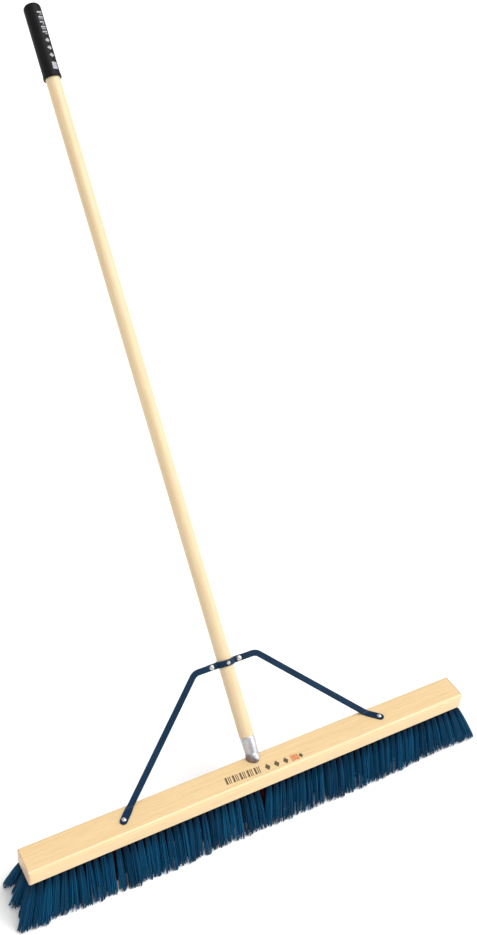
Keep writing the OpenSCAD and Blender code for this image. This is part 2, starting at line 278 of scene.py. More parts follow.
def enamel_material(name):
    s = Shader(name, roughness=0.36, Specular_IOR_Level=0.14, Coat_Weight=0.05, Coat_Roughness=0.2)
    cloud = s.noise(s.place, scale=22, detail=3)
    peel = s.noise(s.place, scale=900, detail=2)
    s.colour(s.ramp(cloud, (0.3, ENAMEL_DARK), (0.7, ENAMEL_LIGHT)))
    s.rough(cloud, 0.30, 0.44)
    s.bump(peel, 0.12, 0.15 * MM)
    return s.material


def plated_metal(name, colour, worn, low_rough, high_rough, scale):
    s = Shader(name, roughness=0.3, metallic=1.0)
    s.cloud = s.noise(s.place, scale, detail=5)
    fine = s.noise(s.place, scale * FINE_TO_CLOUD, detail=3)
    s.metal_colour = s.ramp(s.cloud, (0.32, worn), (0.62, colour))
    s.colour(s.metal_colour)
    s.rough(fine, low_rough, high_rough)
    s.bump(fine, 0.18, 0.12 * MM)
    return s


def ferrule_material():
    """Cast metal, with a patchy painted brown shade and reflection of the wood where the collar meets the wood,
    most on its left side.
    """
    s = plated_metal("cast_ferrule_metal", CAST_BRIGHT, CAST_WORN, low_rough=0.38, high_rough=0.54, scale=60)
    # Painted shade and reflection of the wood: strongest low on the collar and on its left side, in patches
    along = s.add("ShaderNodeVectorMath", operation="DOT_PRODUCT")
    s.link(s.place, along.inputs[0])
    along.inputs[1].default_value = HANDLE_UP - X_AXIS * FERRULE_SHADE_SLANT
    low = s.add("ShaderNodeMapRange", interpolation_type="SMOOTHSTEP")
    foot = HANDLE_FOOT.dot(HANDLE_UP)
    low.inputs["From Min"].default_value = foot + FERRULE_SHADE_TOP
    low.inputs["From Max"].default_value = foot - FERRULE_SHADE_FULL
    s.link(along.outputs["Value"], low.inputs["Value"])
    painted_shade_amount = s.add("ShaderNodeMath", operation="MULTIPLY")
    s.link(low.outputs["Result"], painted_shade_amount.inputs[0])
    s.link(s.spread(s.cloud, 0.5, 1.0), painted_shade_amount.inputs[1])
    s.colour(s.mix(painted_shade_amount.outputs["Value"], s.metal_colour, FERRULE_PAINTED_SHADE))
    return s.material


def rubber_material(name):
    s = Shader(name, roughness=0.55, Specular_IOR_Level=0.2)
    cloud = s.noise(s.place, scale=30, detail=3)
    grain = s.noise(s.place, scale=1500, detail=2)
    s.colour(s.ramp(cloud, (0.3, RUBBER_DARK), (0.7, RUBBER_LIGHT)))
    s.rough(grain, 0.45, 0.62)
    s.bump(grain, 0.25, 0.12 * MM)
    return s.material


def fibre_material(name, dark, middle, pale, root):
    """Synthetic fibre; each one has its own tone, and a painted shade, standing in for the rows shading each
    other, darkens it towards its root.
    """
    s = Shader(name, roughness=0.45, Specular_IOR_Level=0.1)
    tone = s.add("ShaderNodeAttribute", attribute_name="tone").outputs["Fac"]
    share = s.add("ShaderNodeAttribute", attribute_name="share").outputs["Fac"]
    streak = s.noise(s.mapped(s.place, scale=(420, 420, 9)), 1.0, detail=2)
    colour = s.ramp(tone, (0.0, dark), (0.5, middle), (1.0, pale))
    colour = s.mix(0.3, colour, s.ramp(streak, (0.35, dark), (0.65, middle)))
    # Painted shade: near its root the fibre's colour is mixed towards the dark root colour
    painted_root_shade = s.add("ShaderNodeMapRange")
    painted_root_shade.inputs["From Min"].default_value = ROOT_PAINTED_SHADE_START
    painted_root_shade.inputs["From Max"].default_value = ROOT_PAINTED_SHADE_END
    painted_root_shade.inputs["To Min"].default_value = ROOT_PAINTED_SHADE
    painted_root_shade.inputs["To Max"].default_value = 0.0
    s.link(share, painted_root_shade.inputs["Value"])
    s.colour(s.mix(painted_root_shade.outputs["Result"], colour, root))
    s.rough(streak, 0.36, 0.54)
    s.bump(streak, 0.15, 0.1 * MM)
    return s.material


def ink_material(name, colour, faded):
    s = Shader(name, roughness=0.6)
    patch = s.noise(s.place, scale=420, detail=4)
    s.colour(s.ramp(patch, (0.35, faded), (0.6, colour)))
    s.bump(patch, 0.1, 0.05 * MM)
    return s.material


def floor_material():
    s = Shader("floor_paper", roughness=0.85, Emission_Strength=FLOOR_GLOW)
    s.main.inputs["Emission Color"].default_value = (1, 1, 1, 1)
    soft = s.noise(s.place, scale=1.5, detail=2)
    s.colour(s.ramp(soft, (0.3, PAPER_DARK), (0.7, PAPER_LIGHT)))
    return s.material


GRAIN_SCALE = 3.0
WOOD_PALE = srgb(236, 206, 155)
WOOD_MIDDLE = srgb(229, 196, 142)
WOOD_DARK = srgb(196, 154, 100)
POLE_PALE = srgb(230, 207, 167)
POLE_MIDDLE = srgb(221, 194, 151)
POLE_DARK = srgb(196, 161, 116)
# End-face colours: end grain, made darker still as painted shade
END_GRAIN_AND_SHADE = srgb(198, 160, 112)
END_GRAIN_DARK = srgb(176, 136, 88)
END_GRAIN_PORES = srgb(140, 100, 62)
END_RING_SCALE = 68
END_RING_CENTRE = (0, 0.03, 0.02)
# The end grain and its painted shade fade in over the last millimetres of the block's length
END_GRAIN_START = 2.4 * MM
END_GRAIN_FULL = 0.4 * MM
ENAMEL_DARK = srgb(4, 34, 58)
ENAMEL_LIGHT = srgb(9, 46, 74)
FINE_TO_CLOUD = 9
CAST_BRIGHT = srgb(212, 213, 215)
CAST_WORN = srgb(180, 180, 183)
# Colour of the painted shade and reflection on the ferrule, the slant that puts more of it on the left, and where
# it starts and is full
FERRULE_PAINTED_SHADE = srgb(112, 90, 86)
FERRULE_SHADE_SLANT = -1.0
FERRULE_SHADE_TOP = 4 * MM
FERRULE_SHADE_FULL = 5 * MM
RUBBER_DARK = srgb(7, 7, 8)
RUBBER_LIGHT = srgb(15, 15, 17)
# Shares of a fibre's length between which the painted shade at its root fades out
ROOT_PAINTED_SHADE_START = 0.02
ROOT_PAINTED_SHADE_END = 0.38
ROOT_PAINTED_SHADE = 0.85
PAPER_DARK = srgb(250, 250, 250)
PAPER_LIGHT = srgb(254, 254, 253)
FLOOR_GLOW = 0.12
BLOCK_WOOD = block_wood_material()
POLE_WOOD = wood_material(
    "pole_varnished_wood", (HANDLE_LEAN, math.pi / 2, 0),
    POLE_PALE, POLE_MIDDLE, POLE_DARK,
    varnish=0.22, varnish_roughness=0.42).material
ENAMEL = enamel_material("brace_blue_enamel")
ZINC = plated_metal(
    "zinc_plate", srgb(225, 225, 228), srgb(180, 180, 178),
    low_rough=0.18, high_rough=0.38, scale=160).material
CAST_METAL = ferrule_material()
RUBBER = rubber_material("grip_black_rubber")
# root is the colour of the painted shade at the fibres' roots
OUTER_FIBRE = fibre_material(
    "blue_fibre", dark=srgb(0, 42, 68), middle=srgb(0, 72, 110),
    pale=srgb(12, 105, 149), root=srgb(0, 12, 24))
INNER_FIBRE = fibre_material(
    "maroon_fibre", dark=srgb(28, 2, 9), middle=srgb(70, 6, 26),
    pale=srgb(98, 16, 40), root=srgb(8, 2, 8))
STAMP_INK = ink_material("block_stamp_ink", srgb(70, 60, 50), srgb(120, 96, 66))
ACCENT_INK = ink_material("block_accent_ink", srgb(206, 120, 70), srgb(220, 160, 110))
GRIP_INK = ink_material("grip_print_ink", srgb(190, 188, 196), srgb(120, 118, 124))

# ---- Bristles --------------------------------------------------------------------

TUFT_PITCH = 14 * MM
LAST_COLUMN = 32
MIDDLE_ROW = 2
LAST_ROW = 2 * MIDDLE_ROW
ROW_SPREAD = 27.5 * MM
END_SPREAD = 33 * MM
SPREAD_COLUMNS = 8
SPREAD_POWER = 1.4
# At both ends the tips lie this much further to +X
END_LEAN = 4 * MM
# Shares, at the ends: the rear row fans out less endways, and every row spreads less to front and rear
REAR_TUCK = 0.2
END_TUCK = 0.16
END_RISE = 3.5 * MM
BORDER_TUFTS = 2
FIBRES_IN_TUFT = 52
END_FIBRES = 1.3
FIBRE_RADIUS = 0.66 * MM
FIBRE_SIDES = 4
FIBRE_RINGS = 6
ROOT_DISC = 2.6 * MM
TIP_DISC_X = 9.0 * MM
TIP_DISC_Y = 9.5 * MM
END_DISC_GROWTH = 0.4
LOCKS = 6
LOCK_PULL = 0.24
END_LOCK_PULL = 0.08
LOCK_REACH = 0.8
LOCK_RISE = 0.9 * MM
ROOT_INSET = 3 * MM
OPENING_POWER = 0.5
GAP_LEAN = 8.5 * MM
GAP_LEAN_COLUMNS = 4.0
# Mean number of tufts in a clump
CLUMP_STRETCH = 2.6
# Sizes of the random differences between clumps, tufts and single fibres
CLUMP_SLOPE = 0.55
CLUMP_DRIFT_X = 1.15 * MM
CLUMP_DRIFT_Y = 1.6 * MM
CLUMP_RISE = 1.1 * MM
TUFT_DRIFT = 0.5 * MM
TUFT_RISE = 0.5 * MM
TUFT_TONE = 0.12
END_STEADINESS = 0.5
FIBRE_DRIFT = 0.4 * MM
FIBRE_RISE = 0.45 * MM
FIBRE_BOW = 0.5 * MM
FIBRE_TONE = 0.2
# The colour of an average fibre, the tips' least height, and how rings and fanning are spread over the length
MIDDLE_TONE = 0.5
TIP_CLEARANCE = 0.2 * FIBRE_RADIUS
RING_POWER = 1.25
SPREADING_POWER = 0.9
FIRST_SEED = 20
SEEDS_PER_ROW = 10


def is_staggered(row):
    return row % 2 == 1


def column_places(row):
    if is_staggered(row):
        return [(i + 0.5) * TUFT_PITCH for i in range(-LAST_COLUMN, LAST_COLUMN)]
    return [i * TUFT_PITCH for i in range(-LAST_COLUMN, LAST_COLUMN + 1) if row != 0 or i != 0]


def is_border(row, x):
    inset = BORDER_TUFTS if is_staggered(row) else BORDER_TUFTS - 0.5
    return abs(x) > (LAST_COLUMN - inset) * TUFT_PITCH


def end_share(x):
    """0 along most of the row, rising to 1 at its last tuft."""
    return max(0.0, (abs(x) / TUFT_PITCH - LAST_COLUMN) / SPREAD_COLUMNS + 1)


def tip_x(row, x):
    """Where the tips of the tuft rooted at x lie; in the front row they lean in over its empty centre."""
    share = end_share(x)
    outward = END_SPREAD * share ** SPREAD_POWER * (1 - REAR_TUCK * row / LAST_ROW)
    if row == 0:
        outward -= GAP_LEAN * math.exp(-(abs(x) / TUFT_PITCH - 1) / GAP_LEAN_COLUMNS)
    return x + math.copysign(1, x) * outward + END_LEAN * share


def clumped(rng, columns, size):
    """A drift that neighbours share, with a jump where one clump ends and the next begins."""
    drift = np.zeros(len(columns))
    i = 0
    while i < len(columns):
        stretch = 1 + rng.poisson(CLUMP_STRETCH - 1)
        middle = i + (stretch - 1) / 2
        level = rng.normal(0, size)
        for k in range(i, min(i + stretch, len(columns))):
            drift[k] = level - (k - middle) * size * CLUMP_SLOPE
        i += stretch
    return drift


def fibre_mesh(name, centre, share, tone, material):
    """One mesh of thin tubes along the centre lines, with each fibre's tone and the share of its length."""
    count, rings = centre.shape[:2]
    turn = 2 * math.pi * np.arange(FIBRE_SIDES) / FIBRE_SIDES
    ring = np.stack([np.cos(turn), np.sin(turn), np.zeros(FIBRE_SIDES)], axis=1) * FIBRE_RADIUS
    vertices = (centre[:, :, None, :] + ring[None, None, :, :]).reshape(-1, 3)
    per_fibre = rings * FIBRE_SIDES
    one = np.array(loft_faces(rings, FIBRE_SIDES))
    faces = (one[None, :, :] + (np.arange(count) * per_fibre)[:, None, None]).reshape(-1, 4)
    mesh = bpy.data.meshes.new(name)
    mesh.from_pydata(vertices.tolist(), [], faces[:, ::-1].tolist())
    mesh.polygons.foreach_set("use_smooth", [True] * len(mesh.polygons))
    tones = np.repeat(tone, per_fibre)
    shares = np.tile(np.repeat(share, FIBRE_SIDES), count)
    for key, values in (("tone", tones), ("share", shares)):
        attribute = mesh.attributes.new(key, "FLOAT", "POINT")
        attribute.data.foreach_set("value", values.astype(np.float32))
    mesh.materials.append(material)
    return mesh


def fibre_row(name, row, hinge_y, columns, material, nodes):
    """One row's fibres, from inside their holes to their trimmed tips, as one mesh."""
    rng = np.random.default_rng(FIRST_SEED + row * SEEDS_PER_ROW + len(columns))
    tufts = len(columns)
    counts = [round(FIBRES_IN_TUFT * (1 + END_FIBRES * end_share(x) ** 2)) for x in columns]
    count = sum(counts)

    def each(values):
        return np.repeat(np.asarray(values, dtype=float), counts, axis=0)

    ends = each([end_share(x) for x in columns])
    drift_x = each(clumped(rng, columns, CLUMP_DRIFT_X) + rng.normal(0, TUFT_DRIFT, tufts))
    drift_x *= 1 - END_STEADINESS * ends
    drift_y = each(clumped(rng, columns, CLUMP_DRIFT_Y))
    rise = each(np.abs(clumped(rng, columns, CLUMP_RISE)) + np.abs(rng.normal(0, TUFT_RISE, tufts)))
    angle = rng.uniform(0, 2 * math.pi, count)
    disc = np.sqrt(rng.uniform(0, 1, count))
    around = np.stack([np.cos(angle), np.sin(angle)], axis=1) * disc[:, None]
    root = np.stack([each(columns), np.full(count, hinge_y)], axis=1) + around * ROOT_DISC

    # Near their tips the fibres of a tuft stick together in a few locks
    lock_places = rng.uniform(-LOCK_REACH, LOCK_REACH, (tufts, LOCKS, 2))
    lock_rises = np.abs(rng.normal(0, LOCK_RISE, (tufts, LOCKS)))
    own_locks = each(lock_places)
    nearest = np.argmin(np.linalg.norm(own_locks - around[:, None, :], axis=2), axis=1)
    own_lock = own_locks[np.arange(count), nearest]
    rise = rise + each(lock_rises)[np.arange(count), nearest]
    pull = LOCK_PULL + (END_LOCK_PULL - LOCK_PULL) * ends[:, None]
    tip_around = around + (own_lock - around) * pull

    tip_y = hinge_y + ROW_SPREAD * (row - MIDDLE_ROW) / MIDDLE_ROW * (1 - END_TUCK * ends)
    tip = np.stack([each([tip_x(row, x) for x in columns]) + drift_x, tip_y + drift_y], axis=1)
    tip_disc = np.stack([TIP_DISC_X * (1 + END_DISC_GROWTH * ends), np.full(count, TIP_DISC_Y)], axis=1)
    tip += tip_around * tip_disc
    tip += rng.normal(0, FIBRE_DRIFT, (count, 2))
    tip_z = rise + np.abs(rng.normal(0, FIBRE_RISE, count)) + END_RISE * ends ** 2 + TIP_CLEARANCE
    bow = rng.normal(0, FIBRE_BOW, (count, 2))

    # A fibre stands straight in its hole and opens out as soon as it leaves it
    z_top = BLOCK_BOTTOM + ROOT_INSET
    hole = ROOT_INSET / z_top
    share = np.linspace(0, 1, FIBRE_RINGS) ** RING_POWER
    share = np.concatenate([[0.0], hole + (1 - hole) * share])
    below_hole = np.clip((share - hole) / (1 - hole), 0, 1)
    opening = below_hole ** OPENING_POWER
    spreading = below_hole ** SPREADING_POWER
    wide = around * ROOT_DISC
    centre = np.zeros((count, len(share), 3))
    for k in range(len(share)):
        core = root - wide + (tip - around * TIP_DISC_X - root + wide) * spreading[k]
        fan = wide + (around * TIP_DISC_X - wide) * opening[k]
        centre[:, k, :2] = core + fan + bow * math.sin(math.pi * share[k])
        centre[:, k, 2] = z_top + (tip_z - z_top) * share[k]

    tone = each(rng.normal(MIDDLE_TONE, TUFT_TONE, tufts)) + rng.normal(0, FIBRE_TONE, count)
    piece = bpy.data.objects.new(name, fibre_mesh(name, centre, share, np.clip(tone, 0, 1), material))
    bpy.context.collection.objects.link(piece)
    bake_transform(piece)
    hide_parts(*nodes)


def make_bristles():
    hinge = {j["child"]: j["pos_m"][1] for j in frame["joints"]}
    bodies = ["front_row", "second_row", "middle_row", "fourth_row", "rear_row"]
    for row, body in enumerate(bodies):
        columns = column_places(row)
        y = hinge[body]
        if row in (0, LAST_ROW):
            fibre_row(f"{body}_fibres", row, y, columns, OUTER_FIBRE, [f"{body}_tufts"])
            continue
        inner = [x for x in columns if not is_border(row, x)]
        border = [x for x in columns if is_border(row, x)]
        fibre_row(f"{body}_fibres", row, y, inner, INNER_FIBRE, [f"{body}_tufts"])
        fibre_row(
            f"{body}_end_fibres", row, y, border, OUTER_FIBRE, [f"{body}_end_tufts"])


# ---- Ferrule and grip ------------------------------------------------------------

THREAD_PITCH = 4.5 * MM
THREAD_LOW = -20 * MM
THREAD_HIGH = -6.5 * MM
THREAD_ROOT = 8.4 * MM
THREAD_DEPTH = 1.1 * MM
THREAD_CHAMFER = 1.2 * MM
THREAD_FADE = 1 * MM
THREAD_STEPS = 44
# A crest is a triangle, stretched and lowered, then cut off flat at its root and at its full depth
CREST_SLOPE = 2.2
CREST_CUT = 0.6
CRIMP_ANGLE = math.radians(115)
CRIMP_HEIGHT = 30 * MM
CRIMP_SIZE = 2.0 * MM
CRIMP_DEPTH = 0.8 * MM
SLEEVE_RADIUS = 13.5 * MM
# (radius, height) in mm: from the thread up over the round collar and in to the waist
COLLAR_OUTLINE = (
    (8.6, -6.8), (9.4, -6.5), (10.2, -6.2), (11.4, -5.3), (12.5, -4.1), (13.1, -2.9), (13.35, -1.6),
    (13.4, 0), (13.4, 4), (13.4, 7.0), (13.25, 7.8), (12.75, 8.5), (12.4, 9.3), (12.3, 10.2), (12.35, 12))
WAIST_RADIUS = 12.35
WAIST_HEIGHT = 12
SLEEVE_FLARE = 1.45
SLEEVE_LENGTH = 25.5
SLEEVE_STEPS = 22
# (radius, height) in mm: over the sleeve's rounded mouth and down its inside
MOUTH_OUTLINE = (
    (13.85, 39.6), (13.8, 40.9), (13.55, 41.4), (13.2, 41.5), (12.75, 41.5), (12.6, 41.2),
    (12.45, 40), (11.1, 12.2), (0.0, 11.9))
GRIP_LIP = 1.0 * MM
# In mm: the straight part of the lip and the curve above it
GRIP_LIP_HEIGHT = 3
GRIP_LIP_FADE = 9
GRIP_LIP_STEPS = 6
GRIP_BORE = 14.4 * MM
GRIP_BORE_END = 12 * MM
GRIP_DOME = 10.5 * MM
GRIP_DOME_STEPS = 12
GRIP_DOME_POWER = 0.62
GRIP_CROWN = 1.5 * MM


def thread_and_crimps(angle, height):
    """The helical thread below the collar, and the dents where the sleeve is staked to the pole."""
    if THREAD_LOW + THREAD_FADE <= height <= THREAD_HIGH - THREAD_FADE:
        phase = ((height - THREAD_LOW) / THREAD_PITCH - angle / (2 * math.pi)) % 1.0
        return THREAD_DEPTH * min(1.0, max(0.0, CREST_SLOPE * (1 - abs(2 * phase - 1)) - CREST_CUT))
    dent = 0.0
    for centre_angle in (-CRIMP_ANGLE, CRIMP_ANGLE):
        turn = (angle - centre_angle + math.pi) % (2 * math.pi) - math.pi
        away = ((turn * SLEEVE_RADIUS) ** 2 + (height - CRIMP_HEIGHT) ** 2) / CRIMP_SIZE ** 2
        dent += CRIMP_DEPTH * math.exp(-away)
    return -dent


def make_ferrule():
    threaded = THREAD_HIGH - THREAD_LOW - 2 * THREAD_FADE
    profile = [
        (0.0, THREAD_LOW),
        (THREAD_ROOT - THREAD_CHAMFER, THREAD_LOW),
        (THREAD_ROOT, THREAD_LOW + THREAD_FADE),
    ]
    profile += [
        (THREAD_ROOT, THREAD_LOW + THREAD_FADE + threaded * i / THREAD_STEPS) for i in range(1, THREAD_STEPS)]
    in_mm = list(COLLAR_OUTLINE)
    for i in range(1, SLEEVE_STEPS + 1):
        in_mm.append((
            WAIST_RADIUS + SLEEVE_FLARE * i / SLEEVE_STEPS,
            WAIST_HEIGHT + SLEEVE_LENGTH * i / SLEEVE_STEPS))
    in_mm += MOUTH_OUTLINE
    profile += [(radius * MM, height * MM) for radius, height in in_mm]
    piece = turned_piece("ferrule_casting", profile, CAST_METAL, thread_and_crimps)
    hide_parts("threaded_ferrule")


def make_grip():
    heights = [height_on_handle(Vector(v.co)) for v in frame["nodes"]["handle_grip"].data.vertices]
    top = max(heights)
    bottom = min(heights)
    lip = GRIP_LIP
    r = GRIP_RADIUS
    profile = [(0.0, top - GRIP_BORE_END), (GRIP_BORE, top - GRIP_BORE_END)]
    profile += [(GRIP_BORE, bottom + 0.8 * MM), (GRIP_BORE + 0.8 * MM, bottom)]
    # The lip's rounded edge, and its hollow curve back to the grip's own radius
    profile += [(r + lip - 1.2 * MM, bottom), (r + lip - 0.4 * MM, bottom + 0.3 * MM)]
    profile += [(r + lip, bottom + 1.1 * MM), (r + lip, bottom + GRIP_LIP_HEIGHT * MM)]
    for i in range(1, GRIP_LIP_STEPS + 1):
        profile.append((
            r + lip * (1 + math.cos(math.pi * i / GRIP_LIP_STEPS)) / 2,
            bottom + (GRIP_LIP_HEIGHT + GRIP_LIP_FADE * i / GRIP_LIP_STEPS) * MM))
    profile += [(r, bottom + 60 * MM), (r, top - 30 * MM), (r, top - 11.5 * MM)]
    for i in range(1, GRIP_DOME_STEPS + 1):
        a = math.pi / 2 * i / GRIP_DOME_STEPS
        height = top - GRIP_CROWN - GRIP_DOME + GRIP_DOME * math.sin(a)
        profile.append((r * math.cos(a) ** GRIP_DOME_POWER, height))
    piece = turned_piece("grip_sleeve", profile, RUBBER)
    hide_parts("handle_grip")


# ---- Brace -----------------------------------------------------------------------

BAR_HALF_WIDTH = 6 * MM
FOOT_HALF_WIDTH = 7 * MM
BAR_HALF_THICK = 1.5 * MM
BAR_EDGE = 1.1 * MM
BAR_GAP = 0.5 * MM
BAR_LEVEL = BAR_GAP + BAR_HALF_THICK
SADDLE_RADIUS = 15.9 * MM
SADDLE_FILLET = 4 * MM
CLAMP_HEIGHT = 183 * MM
BOW_HALF_WIDTH = 65 * MM
BEND_RADIUS = 20 * MM
FOOT_BEND_X = 252 * MM
FOOT_LENGTH = 36.5 * MM
FOLD_RADIUS = 5 * MM
STRAP_HALF_WIDTH = 37 * MM
STRAP_CORNER = 3 * MM
STRAP_CORNER_STEPS = 6
BAR_SHARP_DEG = 50
# How far apart the bar's sections are in each of its parts, and how far from the fold they are close
SADDLE_STEP = 0.9 * MM
STRAIGHT_STEP = 5 * MM
BEND_STEP = math.radians(3.5)
ARM_STEP = 8 * MM
FOLD_STEP = 0.8 * MM
FOLD_ZONE = 16 * MM
FOOT_STEP = 2 * MM
FOOT_END_STEPS = 9
# Where the arm starts to widen into the foot, and over what length
WIDEN_LEAD = 4 * MM
WIDEN_LENGTH = 12 * MM
NARROWEST_END = 0.12
FOLD_TURN = math.pi / 2 - HANDLE_LEAN
FOLD_TRIM = FOLD_RADIUS * math.tan(FOLD_TURN / 2)
FOLD_LINE = (BAR_HALF_THICK - BAR_LEVEL * math.sin(HANDLE_LEAN)) / math.cos(HANDLE_LEAN)
FOLD_START = FOLD_LINE + FOLD_TRIM
FOLD_LENGTH = FOLD_RADIUS * FOLD_TURN
SADDLE_CENTRE_X = math.sqrt((SADDLE_RADIUS + SADDLE_FILLET) ** 2 - (BAR_LEVEL + SADDLE_FILLET) ** 2)
SADDLE_TURN = math.pi / 2 - math.atan2(BAR_LEVEL + SADDLE_FILLET, SADDLE_CENTRE_X)
SADDLE_ARC = SADDLE_RADIUS * SADDLE_TURN
SADDLE_END = SADDLE_ARC + SADDLE_FILLET * SADDLE_TURN
SADDLE_GROWTH = SADDLE_END - SADDLE_CENTRE_X


def saddle_point(u):
    """Place and normal, as (X, front) pairs, of the bar at length u from its middle."""
    side = math.copysign(1, u)
    u = abs(u)
    if u <= SADDLE_ARC:
        a = u / SADDLE_RADIUS
        normal = (side * math.sin(a), math.cos(a))
        return (normal[0] * SADDLE_RADIUS, normal[1] * SADDLE_RADIUS), normal
    if u < SADDLE_END:
        a = math.pi + (math.pi / 2 - SADDLE_TURN) + (u - SADDLE_ARC) / SADDLE_FILLET
        out = (math.cos(a), math.sin(a))
        place = (SADDLE_CENTRE_X + SADDLE_FILLET * out[0], BAR_LEVEL + SADDLE_FILLET + SADDLE_FILLET * out[1])
        return (side * place[0], place[1]), (-side * out[0], -out[1])
    return (side * (u - SADDLE_GROWTH), BAR_LEVEL), (0.0, 1.0)


def fold_point(v):
    """Place and normal of the bow's plane at length v up the handle; below the fold it lies on the block."""
    start = HANDLE_FOOT + HANDLE_UP * FOLD_START + HANDLE_FRONT * BAR_LEVEL
    if v >= FOLD_START:
        return start + HANDLE_UP * (v - FOLD_START), HANDLE_FRONT
    turn = min((FOLD_START - v) / FOLD_RADIUS, FOLD_TURN)
    normal = HANDLE_FRONT * math.cos(turn) + HANDLE_UP * math.sin(turn)
    place = start + HANDLE_FRONT * FOLD_RADIUS - normal * FOLD_RADIUS
    beyond = max(0.0, FOLD_START - FOLD_LENGTH - v)
    return place - Vector((0, 1, 0)) * beyond, normal


def bar_point(u, v, thick, facing=1):
    """A point of the bent bar, from its place in the flat blank; facing -1 puts it behind the handle."""
    (x, front), (normal_x, normal_front) = saddle_point(u)
    place, normal = fold_point(v)
    if facing < 0:
        place = place - HANDLE_FRONT * (2 * BAR_LEVEL)
        front, normal_front = -(front - BAR_LEVEL), -normal_front
        lift = HANDLE_FRONT * front
    else:
        lift = HANDLE_FRONT * (front - BAR_LEVEL)
    if abs(u) < SADDLE_END:
        normal = X_AXIS * normal_x + HANDLE_FRONT * normal_front
    elif facing < 0:
        normal = -HANDLE_FRONT
    return place + X_AXIS * x + lift + normal * thick


def bar_section(half_width, half_thick, edge, across=7, corner=3):
    """A rounded rectangle as (sideways, thick) points."""
    edge = min(edge, half_width * 0.9)
    flat = half_width - edge
    points = []
    for i in range(across):
        points.append((-flat + 2 * flat * i / (across - 1), half_thick))
    for i in range(1, corner + 1):
        a = math.pi / 2 * (1 - i / (corner + 1))
        points.append((flat + edge * math.cos(a), half_thick - edge + edge * math.sin(a)))
    for i in range(1, corner + 1):
        a = -math.pi / 2 * i / (corner + 1)
        points.append((flat + edge * math.cos(a), -half_thick + edge + edge * math.sin(a)))
    for i in range(across):
        points.append((flat - 2 * flat * i / (across - 1), -half_thick))
    for i in range(1, corner + 1):
        a = -math.pi / 2 * (1 - i / (corner + 1))
        points.append((-flat - edge * math.cos(a), -half_thick + edge + edge * math.sin(a)))
    for i in range(1, corner + 1):
        a = math.pi / 2 * i / (corner + 1)
        points.append((-flat - edge * math.cos(a), half_thick - edge + edge * math.sin(a)))
    return points


def swept_bar(name, stations, material, facing=1):
    """stations are (u, v, direction, half width) along the bar's flat blank."""
    vertices = []
    for u, v, direction, half_width in stations:
        for sideways, thick in bar_section(half_width, BAR_HALF_THICK, BAR_EDGE):
            across = (-math.sin(direction) * sideways, math.cos(direction) * sideways)
            vertices.append(bar_point(u + across[0], v + across[1], thick, facing))
    ring = len(bar_section(BAR_HALF_WIDTH, BAR_HALF_THICK, BAR_EDGE))
    faces = loft_faces(len(stations), ring)
    return make_piece(name, vertices, faces, material, "broom", BAR_SHARP_DEG)


def steps_between(start, end, step):
    count = max(1, round(abs(end - start) / step))
    return [start + (end - start) * i / count for i in range(1, count + 1)]


def round_end(distance_left, radius):
    """Half width of a bar with a round end, from the length that is left."""
    if distance_left >= radius:
        return radius
    return math.sqrt(max(radius ** 2 - (radius - distance_left) ** 2, (NARROWEST_END * radius) ** 2))


def right_half_of_bow():
    """Stations from the middle of the bow to the end of its right foot."""
    slope = math.atan2(CLAMP_HEIGHT - FOLD_LINE, FOOT_BEND_X - BOW_HALF_WIDTH)
    trim = BEND_RADIUS * math.tan(slope / 2)
    bend_start = BOW_HALF_WIDTH - trim + SADDLE_GROWTH
    stations = [(0.0, CLAMP_HEIGHT, 0.0, BAR_HALF_WIDTH)]
    for u in steps_between(0, SADDLE_END + BAR_HALF_WIDTH / 6, SADDLE_STEP):
        stations.append((u, CLAMP_HEIGHT, 0.0, BAR_HALF_WIDTH))
    for u in steps_between(stations[-1][0], bend_start, STRAIGHT_STEP):
        stations.append((u, CLAMP_HEIGHT, 0.0, BAR_HALF_WIDTH))
    for turn in steps_between(0, slope, BEND_STEP):
        stations.append((
            bend_start + BEND_RADIUS * math.sin(turn),
            CLAMP_HEIGHT - BEND_RADIUS * (1 - math.cos(turn)), -turn, BAR_HALF_WIDTH))
    u0, v0 = stations[-1][:2]
    arm = (v0 - FOLD_LINE) / math.sin(slope)
    lengths = steps_between(0, arm - FOLD_ZONE, ARM_STEP)
    lengths += steps_between(arm - FOLD_ZONE, arm + FOLD_ZONE, FOLD_STEP)
    foot_end = arm + FOOT_LENGTH
    lengths += steps_between(arm + FOLD_ZONE, foot_end - FOOT_HALF_WIDTH, FOOT_STEP)
    lengths += [
        foot_end - FOOT_HALF_WIDTH * (1 - math.sin(math.pi / 2 * i / FOOT_END_STEPS))
        for i in range(1, FOOT_END_STEPS + 1)
    ]
    for length in lengths:
        widen = min(max((length - arm + WIDEN_LEAD) / WIDEN_LENGTH, 0.0), 1.0)
        half = BAR_HALF_WIDTH + (FOOT_HALF_WIDTH - BAR_HALF_WIDTH) * widen * widen * (3 - 2 * widen)
        half = min(half, round_end(foot_end - length, FOOT_HALF_WIDTH))
        stations.append((u0 + length * math.cos(slope), v0 - length * math.sin(slope), -slope, half))
    return stations


def strap_corner_station(side, reach, past):
    """A station in the strap's rounded corner; past is the length beyond the corner's start."""
    half_width = BAR_HALF_WIDTH - STRAP_CORNER + math.sqrt(max(STRAP_CORNER ** 2 - past * past, 0))
    return (side * (reach - STRAP_CORNER + past), CLAMP_HEIGHT, 0.0, half_width)


